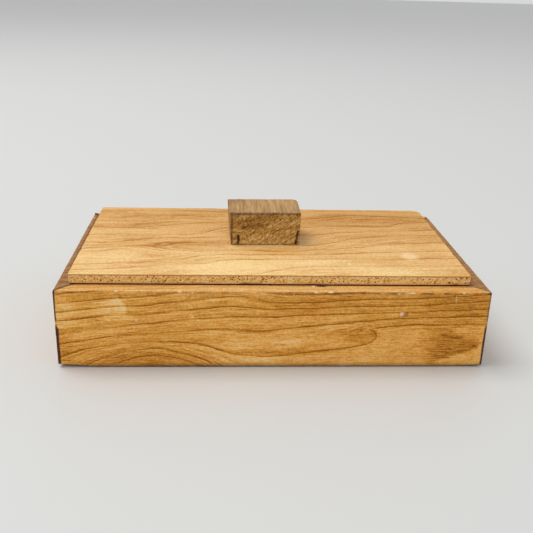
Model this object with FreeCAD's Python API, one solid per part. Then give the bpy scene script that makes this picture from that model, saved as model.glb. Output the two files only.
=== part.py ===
import FreeCAD, Part
import os

# Small wooden tool box with a lid that slides out at the back. Millimetres.
# The origin lies on the surface the box stands on, under the middle of the four walls.
# +X runs along the length, -Y is the front, +Y is the back the lid is drawn out of, +Z is up.

# Walls: four boards of one stock, mitred at the corners
BOX_LENGTH = 267.0
BOX_WIDTH = 153.0
WALL_HEIGHT = 51.8
WALL_THICKNESS = 12.7
CORNER_RADIUS = 1.2  # the upright outer corners, eased with sandpaper
ARRIS_RADIUS = 0.7  # the long outer edges, top and bottom

# Bottom panel: hardboard held in a groove ploughed round the inside of the walls
BOTTOM_THICKNESS = 3.2
BOTTOM_GROOVE_HEIGHT_ABOVE_TABLE = 5.0
BOTTOM_GROOVE_DEPTH = 5.0
BOTTOM_GROOVE_SLACK = 0.2  # groove is this much wider than the panel is thick
BOTTOM_END_CLEARANCE = 0.5  # between each edge of the panel and the bottom of its groove

# Lid grooves: ploughed in the inner faces of the two side boards, open at the back
LID_GROOVE_LIP = 5.0  # wood left between the groove and the top of the side board
LID_GROOVE_HEIGHT = 3.6
LID_GROOVE_DEPTH = 5.0

# Back board: the top of it is sawn off, and the strip travels with the lid
REAR_STRIP_HEIGHT = 9.6
SAW_KERF = 1.0
REAR_STRIP_END_CLEARANCE = 0.4  # along the box, between the strip's mitred ends and the side boards

# Lid panel: three-ply board that lies over the walls and hangs over none of them
LID_MARGIN_LEFT = 7.7  # width of wall top left bare beside the lid
LID_MARGIN_RIGHT = 9.8
LID_MARGIN_FRONT = 9.6
LID_MARGIN_BACK = 3.5
LID_GAP = 0.8  # between the wall tops and the underside of the lid
FACE_VENEER_THICKNESS = 0.7
CORE_THICKNESS = 4.4
LID_CORNER_RADIUS = 0.8

# Runners: two battens under the lid, each with a tongue in one of the lid grooves
RUNNER_WIDTH = 14.0  # without the tongue
RUNNER_SIDE_CLEARANCE = 0.5  # between a runner and the inner face of its side board
TONGUE_LIFT = 0.1  # between the tongue and the floor of its groove
TONGUE_HEADROOM = 0.4  # between the tongue and the roof of its groove
TONGUE_END_CLEARANCE = 0.8  # between the tongue and the bottom of its groove
FRONT_STOP_CLEARANCE = 0.3  # between the runners and the front board, which stops the lid

# Handle: a sawn block, end grain towards the front, screwed on from under the lid
HANDLE_LENGTH = 47.0
HANDLE_DEPTH = 35.0
HANDLE_HEIGHT = 22.6
HANDLE_EDGE_RADIUS = 0.6
HANDLE_OFFSET_X = -2.4  # from the middle of the lid panel
HANDLE_OFFSET_Y = 2.6
HANDLE_TURN = 2.0  # degrees, anticlockwise from above: the block sits a little askew

# Handle screws: countersunk wood screws
SCREW_SPACING = 26.0
SCREW_SHANK_RADIUS = 1.75
SCREW_HEAD_RADIUS = 3.4
SCREW_HEAD_HEIGHT = 2.0
SCREW_GRIP_IN_HANDLE = 13.5
SCREW_POINT_LENGTH = 4.0
SCREW_SLOT_WIDTH = 0.9
SCREW_SLOT_DEPTH = 1.0

# Brads: thin nails with small heads, driven flush
BRAD_SHANK_RADIUS = 0.62
BRAD_HEAD_RADIUS = 1.0
BRAD_HEAD_HEIGHT = 0.6
BRAD_POINT_LENGTH = 1.8
CORNER_BRAD_LENGTH = 22.0
CORNER_BRAD_INSET = 5.0  # from the front or back face of the box
CORNER_BRAD_HEIGHTS = (15.0, 31.0)
LID_BRAD_GRIP_IN_CORE = 3.4  # how far past the lower veneer the points go
RUNNER_BRAD_COUNT = 3
RUNNER_BRAD_END_DISTANCE = 14.0
REAR_STRIP_BRAD_COUNT = 3
REAR_STRIP_BRAD_END_DISTANCE = 30.0

# Filled hole in the front board
PLUG_RADIUS = 1.7
PLUG_DEPTH = 4.0
PLUG_FROM_RIGHT_END = 54.7
PLUG_BELOW_TOP = 15.1

# Places worked out from the sizes above
X_AXIS = FreeCAD.Vector(1, 0, 0)
Y_AXIS = FreeCAD.Vector(0, 1, 0)
Z_AXIS = FreeCAD.Vector(0, 0, 1)
ORIGIN = FreeCAD.Vector(0, 0, 0)

half_length = BOX_LENGTH / 2
half_width = BOX_WIDTH / 2
inner_half_length = half_length - WALL_THICKNESS
inner_half_width = half_width - WALL_THICKNESS

groove_roof = WALL_HEIGHT - LID_GROOVE_LIP
groove_floor = groove_roof - LID_GROOVE_HEIGHT
lid_underside = WALL_HEIGHT + LID_GAP
core_underside = lid_underside + FACE_VENEER_THICKNESS
core_top = core_underside + CORE_THICKNESS
lid_top = core_top + FACE_VENEER_THICKNESS

lid_left = -half_length + LID_MARGIN_LEFT
lid_right = half_length - LID_MARGIN_RIGHT
lid_front = -half_width + LID_MARGIN_FRONT
lid_back = half_width - LID_MARGIN_BACK

rear_strip_bottom = lid_underside - REAR_STRIP_HEIGHT
back_board_height = WALL_HEIGHT - REAR_STRIP_HEIGHT - SAW_KERF

runner_front = -inner_half_width + FRONT_STOP_CLEARANCE
runner_length = inner_half_width - runner_front
runner_outer = inner_half_length - RUNNER_SIDE_CLEARANCE
runner_bottom = groove_floor + TONGUE_LIFT
tongue_outer = inner_half_length + LID_GROOVE_DEPTH - TONGUE_END_CLEARANCE
tongue_top = groove_roof - TONGUE_HEADROOM

handle_x = (lid_left + lid_right) / 2 + HANDLE_OFFSET_X
handle_y = (lid_front + lid_back) / 2 + HANDLE_OFFSET_Y


def block(x_low, x_high, y_low, y_high, z_low, z_high):
    corner = FreeCAD.Vector(x_low, y_low, z_low)
    return Part.makeBox(x_high - x_low, y_high - y_low, z_high - z_low, corner)


def prism(outline, z_low, z_high):
    points = [FreeCAD.Vector(x, y, z_low) for x, y in outline]
    face = Part.Face(Part.makePolygon(points + points[:1]))
    return face.extrude(Z_AXIS * (z_high - z_low))


def upright_edges(shape):
    return [edge for edge in shape.Edges if edge.BoundBox.ZLength > edge.BoundBox.DiagonalLength * 0.99]


def edges_at_height(shape, z):
    return [edge for edge in shape.Edges if edge.BoundBox.ZLength < 1e-6 and abs(edge.BoundBox.ZMin - z) < 1e-6]


# Walls

def corner_envelope(height):
    """The outside of the box with its upright corners eased."""
    outside = block(-half_length, half_length, -half_width, half_width, 0, height)
    return outside.makeFillet(CORNER_RADIUS, upright_edges(outside))


def wall_envelope():
    """The same with the long arrises eased as well."""
    outside = corner_envelope(WALL_HEIGHT)
    arrises = edges_at_height(outside, WALL_HEIGHT) + edges_at_height(outside, 0)
    return outside.makeFillet(ARRIS_RADIUS, arrises)


def end_outline(end, shortening=0.0):
    """Plan of the front (end = -1) or back (end = 1) board, mitred at 45 degrees."""
    outer = half_length - shortening
    inner = inner_half_length - shortening
    return [
        (-outer, end * half_width),
        (outer, end * half_width),
        (inner, end * inner_half_width),
        (-inner, end * inner_half_width),
    ]


def side_outline(side):
    """Plan of the left (side = -1) or right (side = 1) board, mitred at 45 degrees."""
    return [
        (side * half_length, -half_width),
        (side * half_length, half_width),
        (side * inner_half_length, inner_half_width),
        (side * inner_half_length, -inner_half_width),
    ]


def bottom_groove():
    reach_x = inner_half_length + BOTTOM_GROOVE_DEPTH
    reach_y = inner_half_width + BOTTOM_GROOVE_DEPTH
    low = BOTTOM_GROOVE_HEIGHT_ABOVE_TABLE
    high = low + BOTTOM_THICKNESS + BOTTOM_GROOVE_SLACK
    return block(-reach_x, reach_x, -reach_y, reach_y, low, high)


def lid_groove():
    reach = inner_half_length + LID_GROOVE_DEPTH
    return block(-reach, reach, -half_width, half_width, groove_floor, groove_roof)


def end_board(end, height):
    board = prism(end_outline(end), 0, height)
    return board.common(wall_envelope()).cut(bottom_groove())


def side_board(side):
    board = prism(side_outline(side), 0, WALL_HEIGHT)
    return board.common(wall_envelope()).cut(bottom_groove()).cut(lid_groove())


def bottom_panel():
    reach_x = inner_half_length + BOTTOM_GROOVE_DEPTH - BOTTOM_END_CLEARANCE
    reach_y = inner_half_width + BOTTOM_GROOVE_DEPTH - BOTTOM_END_CLEARANCE
    low = BOTTOM_GROOVE_HEIGHT_ABOVE_TABLE
    return block(-reach_x, reach_x, -reach_y, reach_y, low, low + BOTTOM_THICKNESS)


def filler_plug():
    mouth = FreeCAD.Vector(half_length - PLUG_FROM_RIGHT_END, -half_width, WALL_HEIGHT - PLUG_BELOW_TOP)
    return Part.makeCylinder(PLUG_RADIUS, PLUG_DEPTH, mouth, Y_AXIS)


# Lid

def ply(z_low, z_high):
    sheet = block(lid_left, lid_right, lid_front, lid_back, z_low, z_high)
    return sheet.makeFillet(LID_CORNER_RADIUS, upright_edges(sheet))


def runner(side):
    """Batten under the lid with a tongue along its lower outer edge."""
    inner = runner_outer - RUNNER_WIDTH
    y_high = runner_front + runner_length
    batten = block(inner, runner_outer, runner_front, y_high, runner_bottom, lid_underside)
    tongue = block(inner, tongue_outer, runner_front, y_high, runner_bottom, tongue_top)
    right_runner = batten.fuse(tongue).removeSplitter()
    return right_runner if side > 0 else right_runner.mirror(ORIGIN, X_AXIS)


def rear_strip():
    """Top of the back board, sawn off and fixed under the back edge of the lid."""
    strip = prism(end_outline(1, REAR_STRIP_END_CLEARANCE), rear_strip_bottom, lid_underside)
    return strip.common(corner_envelope(lid_underside))


def handle_block():
    solid = block(
        handle_x - HANDLE_LENGTH / 2,
        handle_x + HANDLE_LENGTH / 2,
        handle_y - HANDLE_DEPTH / 2,
        handle_y + HANDLE_DEPTH / 2,
        lid_top,
        lid_top + HANDLE_HEIGHT,
    )
    eased = upright_edges(solid) + edges_at_height(solid, lid_top + HANDLE_HEIGHT)
    eased_block = solid.makeFillet(HANDLE_EDGE_RADIUS, eased)
    eased_block.rotate(FreeCAD.Vector(handle_x, handle_y, lid_top), Z_AXIS, HANDLE_TURN)
    return eased_block


# Fasteners, each with its head at the origin and its point towards +Z

def turned(profile):
    points = [FreeCAD.Vector(radius, 0, z) for radius, z in profile]
    face = Part.Face(Part.makePolygon(points + points[:1]))
    return face.revolve(ORIGIN, Z_AXIS, 360)


def screw_body():
    length = lid_top - lid_underside + SCREW_GRIP_IN_HANDLE
    return turned([
        (0, 0),
        (SCREW_HEAD_RADIUS, 0),
        (SCREW_SHANK_RADIUS, SCREW_HEAD_HEIGHT),
        (SCREW_SHANK_RADIUS, length - SCREW_POINT_LENGTH),
        (0, length),
    ])


def screw_slot():
    return block(
        -SCREW_HEAD_RADIUS,
        SCREW_HEAD_RADIUS,
        -SCREW_SLOT_WIDTH / 2,
        SCREW_SLOT_WIDTH / 2,
        0,
        SCREW_SLOT_DEPTH,
    )


def brad(length):
    return turned([
        (0, 0),
        (BRAD_HEAD_RADIUS, 0),
        (BRAD_HEAD_RADIUS, BRAD_HEAD_HEIGHT),
        (BRAD_SHANK_RADIUS, BRAD_HEAD_HEIGHT),
        (BRAD_SHANK_RADIUS, length - BRAD_POINT_LENGTH),
        (0, length),
    ])


def placed(shape, position, direction=Z_AXIS):
    """The shape moved to a position, with its +Z turned to a direction."""
    copy = shape.copy()
    copy.Placement = FreeCAD.Placement(position, FreeCAD.Rotation(Z_AXIS, direction))
    return copy


def spread(low, high, count):
    """Evenly spaced places from low to high, both included."""
    return [low + (high - low) * index / (count - 1) for index in range(count)]


def corner_brads():
    """Nails driven through the side boards into the ends of the front and back boards."""
    nails = []
    for side in (-1, 1):
        for end in (-1, 1):
            for height in CORNER_BRAD_HEIGHTS:
                head = FreeCAD.Vector(side * half_length, end * (half_width - CORNER_BRAD_INSET), height)
                nails.append(placed(brad(CORNER_BRAD_LENGTH), head, X_AXIS * -side))
    return Part.makeCompound(nails)


def lid_brads():
    """Nails driven up through the runners and the rear strip into the lid panel."""
    nails = []
    point_height = core_underside + LID_BRAD_GRIP_IN_CORE
    runner_middle = runner_outer - RUNNER_WIDTH / 2
    low = runner_front + RUNNER_BRAD_END_DISTANCE
    high = runner_front + runner_length - RUNNER_BRAD_END_DISTANCE
    for x in (-runner_middle, runner_middle):
        for y in spread(low, high, RUNNER_BRAD_COUNT):
            head = FreeCAD.Vector(x, y, runner_bottom)
            nails.append(placed(brad(point_height - runner_bottom), head))
    reach = inner_half_length - REAR_STRIP_BRAD_END_DISTANCE
    for x in spread(-reach, reach, REAR_STRIP_BRAD_COUNT):
        head = FreeCAD.Vector(x, half_width - WALL_THICKNESS / 2, rear_strip_bottom)
        nails.append(placed(brad(point_height - rear_strip_bottom), head))
    return Part.makeCompound(nails)


def on_handle_screw_axes(shape):
    """Two copies of a shape, on the axes of the handle's screws."""
    copies = []
    for offset in (-SCREW_SPACING / 2, SCREW_SPACING / 2):
        copies.append(placed(shape, FreeCAD.Vector(handle_x + offset, handle_y, lid_underside)))
    return Part.makeCompound(copies)


# The pieces, with every fastener's hole cut by the fastener's own shape

corner_nails = corner_brads()
lid_nails = lid_brads()
screws = on_handle_screw_axes(screw_body())
plug = filler_plug()

parts = {
    "front_board": end_board(-1, WALL_HEIGHT).cut(corner_nails).cut(plug),
    "back_board": end_board(1, back_board_height).cut(corner_nails),
    "left_side_board": side_board(-1).cut(corner_nails),
    "right_side_board": side_board(1).cut(corner_nails),
    "bottom_panel": bottom_panel(),
    "front_filler_plug": plug,
    "corner_brads": corner_nails,
    "lid_lower_veneer": ply(lid_underside, core_underside).cut(lid_nails).cut(screws),
    "lid_core_ply": ply(core_underside, core_top).cut(lid_nails).cut(screws),
    "lid_upper_veneer": ply(core_top, lid_top).cut(screws),
    "lid_left_runner": runner(-1).cut(lid_nails),
    "lid_right_runner": runner(1).cut(lid_nails),
    "lid_rear_strip": rear_strip().cut(lid_nails),
    "lid_brads": lid_nails,
    "handle_block": handle_block().cut(screws),
    "handle_screws": screws.cut(on_handle_screw_axes(screw_slot())),
}

os.makedirs("parts", exist_ok=True)
for name, shape in parts.items():
    shape.exportStep(os.path.join("parts", name + ".step"))
    print(f"{name}: {len(shape.Solids)} solids, {shape.Volume:.1f} mm3, valid {shape.isValid()}")
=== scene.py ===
# %% [markdown]
# # A small wooden tool box with a sliding lid
# Four mitred pine boards, a three-ply lid that lies just above them and slides out at the back, and a
# sawn hardwood block to pull it by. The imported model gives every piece's place. This script gives the
# pieces their worn edges, their grain and their finish.

# %% Load the frame
import math

import bmesh
import bpy
import numpy as np
from mathutils import Matrix, Vector, noise


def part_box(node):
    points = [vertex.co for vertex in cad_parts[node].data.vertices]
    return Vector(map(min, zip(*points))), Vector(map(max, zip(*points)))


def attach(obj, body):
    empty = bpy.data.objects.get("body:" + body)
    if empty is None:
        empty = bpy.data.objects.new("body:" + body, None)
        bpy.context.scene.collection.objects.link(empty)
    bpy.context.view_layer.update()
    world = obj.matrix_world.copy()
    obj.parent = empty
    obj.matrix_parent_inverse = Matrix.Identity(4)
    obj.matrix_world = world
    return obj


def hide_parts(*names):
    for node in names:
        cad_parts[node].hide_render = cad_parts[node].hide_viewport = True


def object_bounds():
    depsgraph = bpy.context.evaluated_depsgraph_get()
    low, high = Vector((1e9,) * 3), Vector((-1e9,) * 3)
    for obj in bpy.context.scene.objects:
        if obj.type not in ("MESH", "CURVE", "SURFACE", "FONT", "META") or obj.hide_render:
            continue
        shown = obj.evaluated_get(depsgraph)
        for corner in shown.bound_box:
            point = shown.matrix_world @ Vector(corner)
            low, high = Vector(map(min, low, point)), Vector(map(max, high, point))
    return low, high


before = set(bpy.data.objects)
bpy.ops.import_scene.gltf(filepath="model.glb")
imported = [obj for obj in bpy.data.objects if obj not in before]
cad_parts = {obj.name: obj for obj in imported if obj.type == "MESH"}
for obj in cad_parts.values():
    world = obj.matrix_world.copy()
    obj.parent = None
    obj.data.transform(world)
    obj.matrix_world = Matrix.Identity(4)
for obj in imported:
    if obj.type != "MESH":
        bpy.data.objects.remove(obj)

cad_box = [list(corner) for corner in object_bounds()]
MM = 0.001
walls_low = np.array(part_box("front_board")[0]) / MM
walls_high = np.array(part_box("right_side_board")[1]) / MM
print("walls in mm:", walls_low.round(2), walls_high.round(2))

# %% [markdown]
# ## Camera
# A box this size is looked at from a little above a table top. Blender's camera looks down its own -Z
# axis, so its turns are put together from the inside out: the roll, then the pitch, then the yaw. A roll
# of nearly two degrees is what a hand-held camera has. Multiplying matrices keeps that order plain, which
# three Euler angles wouldn't.

# %% Camera
CAMERA_PLACE = Vector((-0.0328, -0.4815, 0.2262))
CAMERA_PITCH_DOWN = math.radians(21.30)
CAMERA_YAW_RIGHT = math.radians(3.737)
CAMERA_ROLL = math.radians(1.744)
CAMERA_LENS_MM = 49.38
SENSOR_MM = 36.0

scene = bpy.context.scene
scene.view_settings.view_transform = "Standard"

camera_data = bpy.data.cameras.new("camera")
camera_data.sensor_width = SENSOR_MM
camera_data.lens = CAMERA_LENS_MM
camera_data.clip_start = 0.01
camera = bpy.data.objects.new("camera", camera_data)
scene.collection.objects.link(camera)
camera.matrix_world = (
    Matrix.Translation(CAMERA_PLACE)
    @ Matrix.Rotation(-CAMERA_YAW_RIGHT, 4, "Z")
    @ Matrix.Rotation(math.pi / 2 - CAMERA_PITCH_DOWN, 4, "X")
    @ Matrix.Rotation(CAMERA_ROLL, 4, "Z")
)
scene.camera = camera

print("camera at", tuple(round(value, 4) for value in camera.location))

# %% [markdown]
# ## Light
# A soft box up on the left stands in for a window. One large lamp gives one soft shadow, and the even sky
# that comes later fills it, so that a colour renders about as it is written.

# %% Soft box
LIGHT_PLACE = Vector((-1.3, 0.3, 2.9))
LIGHT_AIM = Vector((0.0, 0.0, 0.05))

soft_box = bpy.data.lights.new("window_light", "AREA")
soft_box.shape = "SQUARE"
soft_box.size = 1.7
soft_box.energy = 56.0
lamp = bpy.data.objects.new("window_light", soft_box)
scene.collection.objects.link(lamp)
lamp.location = LIGHT_PLACE
lamp.rotation_euler = (LIGHT_AIM - LIGHT_PLACE).to_track_quat("-Z", "Y").to_euler()
print("lamp is", round((LIGHT_AIM - LIGHT_PLACE).length, 2), "m from the box")

# %% [markdown]
# ## Colours and nodes
# Colours are written as sRGB hex, as a paint chart gives them, and one function turns them to the linear
# values that the shaders use. One more function adds a node, so that each material below reads as a short
# recipe.

# %% Colours and nodes
def linear(hex_colour):
    """An sRGB hex colour as linear red, green, blue and alpha."""
    screen = [int(hex_colour[place : place + 2], 16) / 255 for place in (1, 3, 5)]
    lit = [value / 12.92 if value <= 0.04045 else ((value + 0.055) / 1.055) ** 2.4 for value in screen]
    return lit + [1.0]


def fill(tree, node, sockets):
    """Fills a node's sockets with links, hex colours or values."""
    for socket, value in sockets.items():
        if isinstance(value, bpy.types.NodeSocket):
            tree.links.new(value, node.inputs[socket])
        else:
            node.inputs[socket].default_value = linear(value) if isinstance(value, str) else value


def add(tree, kind, sockets=None, stops=(), output=0, **settings):
    """Adds a node, sets it up and fills its sockets. Gives the wanted output, or the node itself for None.

    Stops are a ramp's places and colours, from low to high.
    """
    made = tree.nodes.new(kind)
    for name, value in settings.items():
        setattr(made, name, value)
    fill(tree, made, sockets or {})
    for index, (place, colour) in enumerate(stops):
        ramp = made.color_ramp.elements
        stop = ramp[index] if index < 2 else ramp.new(place)
        stop.position = place
        stop.color = linear(colour) if isinstance(colour, str) else (colour, colour, colour, 1.0)
    return made if output is None else made.outputs[output]


def new_material(name):
    """An empty node material and its shader."""
    material = bpy.data.materials.new(name)
    material.use_nodes = True
    tree = material.node_tree
    tree.nodes.clear()
    shader = add(tree, "ShaderNodeBsdfPrincipled", output=None)
    add(tree, "ShaderNodeOutputMaterial", {0: shader.outputs[0]}, output=None)
    print("material:", name)
    return material, tree, shader


# %% [markdown]
# ## Table top and sky
# The table is one large sheet of honed pale stone, so wide that its far edge is the horizon. The sky has
# one even colour all round.

# %% Table top and sky
TABLE_HALF_WIDTH = 12.0

sky = bpy.data.worlds.new("even_sky")
sky.use_nodes = True
fill(sky.node_tree, sky.node_tree.nodes["Background"], {"Color": "#F4F5F7", "Strength": 0.74})
scene.world = sky

table_mesh = bmesh.new()
bmesh.ops.create_grid(table_mesh, x_segments=1, y_segments=1, size=TABLE_HALF_WIDTH)
table_data = bpy.data.meshes.new("table_top")
table_mesh.to_mesh(table_data)
table_mesh.free()
table = bpy.data.objects.new("table_top", table_data)
scene.collection.objects.link(table)
table_finish, tree, shader = new_material("honed_pale_stone")
fill(tree, shader, {"Base Color": "#D0D0CD", "Roughness": 0.5})
table_data.materials.append(table_finish)

# %% [markdown]
# ## Growth rings
# The lines on a sawn board are where its face cuts the tree's yearly rings. On a flat-sawn board they
# make long tongues and arches that no wave or noise texture gives. So the figure is drawn as a joiner
# would sketch it: each ring line gets its number and a few points, in millimetres. A thin sheet is then
# bent over these points like a tent over pegs, and its height anywhere is the ring number there. The
# height is kept on the mesh as an attribute, together with the distance between rings, so the shader can
# draw lines of a real width.

# %% Ring sheet
SLACK = 0.002  # lets the sheet pass a little beside a point, so that it bends smoothly


def ring_sheet(lines, stretch):
    """Bends a thin sheet over the ring lines' points. Stretch is how much longer than wide a bend is."""
    pegs = np.array([(along / stretch, across) for _, line in lines for along, across in line], float)
    heights = np.array([ring for ring, line in lines for _ in line], float)

    def bending(points):
        squares = ((points[:, None, :] - pegs[None, :, :]) ** 2).sum(-1)
        return squares * np.log(squares + 1e-9)

    count = len(pegs)
    system = np.zeros((count + 3, count + 3))
    system[:count, :count] = bending(pegs) + SLACK * np.eye(count)
    system[:count, count] = 1.0
    system[:count, count + 1 :] = pegs
    system[count:, :count] = system[:count, count:].T
    weights = np.linalg.solve(system, np.concatenate([heights, np.zeros(3)]))

    def ring_at(along, across):
        points = np.stack([along / stretch, across], axis=1)
        return bending(points) @ weights[:count] + weights[count] + points @ weights[count + 1 :]

    return ring_at


# %% [markdown]
# ### Tones drawn one by one
# A real board also has places that are darker or paler than its rings explain: a soft cloud, or a patch
# with clear edges where a finish has worn off. Each is a line in a table, so that it can be moved a
# millimetre at a time, which noise can't be. On the lid some tones are painted light: paler across the
# front, darker towards the back and the right.

# %% Tones
def soft_patches(patches, along, across):
    """Sum of listed soft spots: (along, across, half length, half width, amount), in millimetres."""
    total = np.zeros_like(along)
    for middle_along, middle_across, half_along, half_across, amount in patches:
        distance = ((along - middle_along) / half_along) ** 2 + ((across - middle_across) / half_across) ** 2
        total += amount * np.exp(-(distance**2))
    return total


def edged_patch(edges, amount, along, across):
    """A patch with straight edges: (along, across, towards along, towards across, softness), in mm."""
    inside = np.full_like(along, amount)
    for edge_along, edge_across, toward_along, toward_across, softness in edges:
        reach = math.hypot(toward_along, toward_across) * softness
        share = ((along - edge_along) * toward_along + (across - edge_across) * toward_across) / reach
        share = np.clip(share + 0.5, 0, 1)
        inside *= share * share * (3 - 2 * share)
    return inside


# %% [markdown]
# ### Figure on the mesh
# The ring number, the spacing of the rings and the tone are kept at every point of the mesh. The spacing
# comes from how steeply the ring number climbs along the surface, measured a short step either way.

# %% Figure
SLOPE_STEP = 0.4
LEAST_SLOPE = 0.02  # where the rings lie flat in the face, they count as 50 mm apart
TONE_DEPTH = 3.0  # how deep under the face a tone drawn on it still shows, in millimetres


def vertex_numbers(piece, what):
    """Three numbers for each of the piece's points: "co" for its place in metres, or "normal"."""
    numbers = np.empty(len(piece.data.vertices) * 3)
    piece.data.vertices.foreach_get(what, numbers)
    return numbers.reshape(-1, 3)


def draw_figure(piece, board_place, ring_at, depth_between_rings, patches=(), edged=()):
    """Stores ring number, ring spacing and tone. board_place turns x, y, z into along, across and depth."""
    places = vertex_numbers(piece, "co") / MM
    normals = vertex_numbers(piece, "normal")

    def ring_number(points):
        along, across, depth = board_place(points)
        return ring_at(along, across) + depth / depth_between_rings

    steps = SLOPE_STEP * np.eye(3)
    slopes = [(ring_number(places + step) - ring_number(places - step)) / (2 * SLOPE_STEP) for step in steps]
    slopes = np.stack(slopes, axis=1)
    slopes -= (slopes * normals).sum(1, keepdims=True) * normals
    spacing = 1.0 / np.maximum(np.linalg.norm(slopes, axis=1), LEAST_SLOPE)
    along, across, depth = board_place(places)
    tone = soft_patches(patches, along, across)
    for edges, amount in edged:
        tone += edged_patch(edges, amount, along, across)
    tone *= np.exp(-((depth / TONE_DEPTH) ** 2))
    figure = piece.data.attributes.new("figure", "FLOAT_VECTOR", "POINT")
    figure.data.foreach_set("vector", np.stack([ring_number(places), spacing, tone], axis=1).ravel())


def store(piece, name, values):
    """Keeps one number for each vertex on the piece."""
    piece.data.attributes.new(name, "FLOAT", "POINT").data.foreach_set("value", np.asarray(values, float))


# %% [markdown]
# ## Patterns of wood
# Every wood here is built from the same few patterns: noise drawn out along the grain, the dark line of
# each ring, streaks that follow the rings, and small marks in known places. Each adds up to one number,
# how dark the wood is, and a colour ramp turns that into colour, so that all the shades stay those of one
# wood.

# %% Stretched noise, sums and layers
def stretched_noise(tree, place, grain, length_mm, width_mm, detail, low=0.0, high=1.0):
    """Noise drawn out along the grain. Values from low to high are spread over 0 to 1."""
    scale = [1 / ((length_mm if axis == grain else width_mm) * MM) for axis in "xyz"]
    drawn_out = add(tree, "ShaderNodeMapping", {"Vector": place, "Scale": scale})
    cloud = add(tree, "ShaderNodeTexNoise", {"Vector": drawn_out, "Scale": 1.0, "Detail": detail})
    return add(tree, "ShaderNodeMapRange", {"Value": cloud, "From Min": low, "From Max": high})


def weighted_sum(tree, start, parts):
    """start plus each part times its weight."""
    total = start
    for part, weight in parts:
        total = add(tree, "ShaderNodeMath", {0: part, 1: weight, 2: total}, operation="MULTIPLY_ADD")
    return total


MIX_FACTOR, MIX_A, MIX_B, MIX_COLOUR = 0, 6, 7, 2  # sockets of a Mix node that is set to colour


def layered(tree, colour, layers):
    """Lays colours over a first one, from (share, colour) or (share, colour, way of blending)."""
    for share, over, *blend in layers:
        sockets = {MIX_FACTOR: share, MIX_A: colour, MIX_B: over}
        settings = {"data_type": "RGBA", "blend_type": blend[0] if blend else "MIX"}
        colour = add(tree, "ShaderNodeMix", sockets, output=MIX_COLOUR, **settings)
    return colour


def surface(tree, shader, sockets, height, bump_mm, bump_strength=1.0):
    """Fills the shader's sockets and gives it a bump, whose height is given in real millimetres."""
    relief = {"Height": height, "Distance": bump_mm * MM, "Strength": bump_strength}
    fill(tree, shader, {**sockets, "Normal": add(tree, "ShaderNodeBump", relief)})


# %% [markdown]
# ### Ring lines
# Latewood is dense and dark, and it stops sharply where the tree stopped growing for the winter. So each
# line is sharp on one side and fades on the other. The distance to the line is in millimetres, from the
# ring number and the spacing, so a line keeps its width where the rings spread. Streaks use the ring
# number as their cross coordinate and so bend with the rings.

# %% Ring lines and streaks
def read_figure(tree):
    """The place on the piece, and the ring number, ring spacing and tone that its mesh keeps."""
    place = add(tree, "ShaderNodeTexCoord", output="Object")
    figure = add(tree, "ShaderNodeAttribute", output="Vector", attribute_name="figure")
    parts = add(tree, "ShaderNodeSeparateXYZ", {0: figure}, output=None).outputs
    return place, parts[0], parts[1], parts[2]


def ring_lines(tree, place, grain, ring, spacing, wander, reaches, breaks):
    """The wandering ring number, the dark line at each ring, and the slow fade above it.

    wander: the length, width and detail of a noise, and how far it moves a line, in millimetres.
    reaches: how far the line goes below the ring and above it, and how far the fade goes, in millimetres.
    breaks: the length, width, detail, low and high of a noise, and the strength left where it is lowest.
    """
    drift = stretched_noise(tree, place, grain, *wander[:-1])
    drift = add(tree, "ShaderNodeMath", {0: drift, 1: 0.5}, operation="SUBTRACT")
    drift = add(tree, "ShaderNodeMath", {0: drift, 1: spacing}, operation="DIVIDE")
    ring = weighted_sum(tree, ring, [(drift, wander[-1])])

    share = add(tree, "ShaderNodeMath", {0: ring}, operation="FRACT")
    above = add(tree, "ShaderNodeMath", {0: share, 1: spacing}, operation="MULTIPLY")
    below = add(tree, "ShaderNodeMath", {0: spacing, 1: above}, operation="SUBTRACT")
    near = []
    for distance, reach in zip((below, above, above), reaches):
        sockets = {"Value": distance, "From Max": reach, "To Min": 1.0, "To Max": 0.0}
        near.append(add(tree, "ShaderNodeMapRange", sockets, interpolation_type="SMOOTHSTEP"))
    line = add(tree, "ShaderNodeMath", {0: near[0], 1: near[1]}, operation="MAXIMUM")
    strength = stretched_noise(tree, place, grain, *breaks[:-1])
    strength = add(tree, "ShaderNodeMapRange", {"Value": strength, "To Min": breaks[-1]})
    line = add(tree, "ShaderNodeMath", {0: line, 1: strength}, operation="MULTIPLY")
    return ring, line, near[2]


def ring_streaks(tree, place, grain, ring, length_mm, per_ring, roughness, low, high):
    """Streaks that follow the rings, so many to a ring."""
    long_way = add(tree, "ShaderNodeSeparateXYZ", {0: place}, output="xyz".index(grain))
    long_way = add(tree, "ShaderNodeMath", {0: long_way, 1: 1 / (length_mm * MM)}, operation="MULTIPLY")
    cross_way = add(tree, "ShaderNodeMath", {0: ring, 1: per_ring}, operation="MULTIPLY")
    at = add(tree, "ShaderNodeCombineXYZ", {0: long_way, 1: cross_way})
    sockets = {"Vector": at, "Scale": 1.0, "Detail": 4.0, "Roughness": roughness}
    cloud = add(tree, "ShaderNodeTexNoise", sockets)
    return add(tree, "ShaderNodeMapRange", {"Value": cloud, "From Min": low, "From Max": high})
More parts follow.
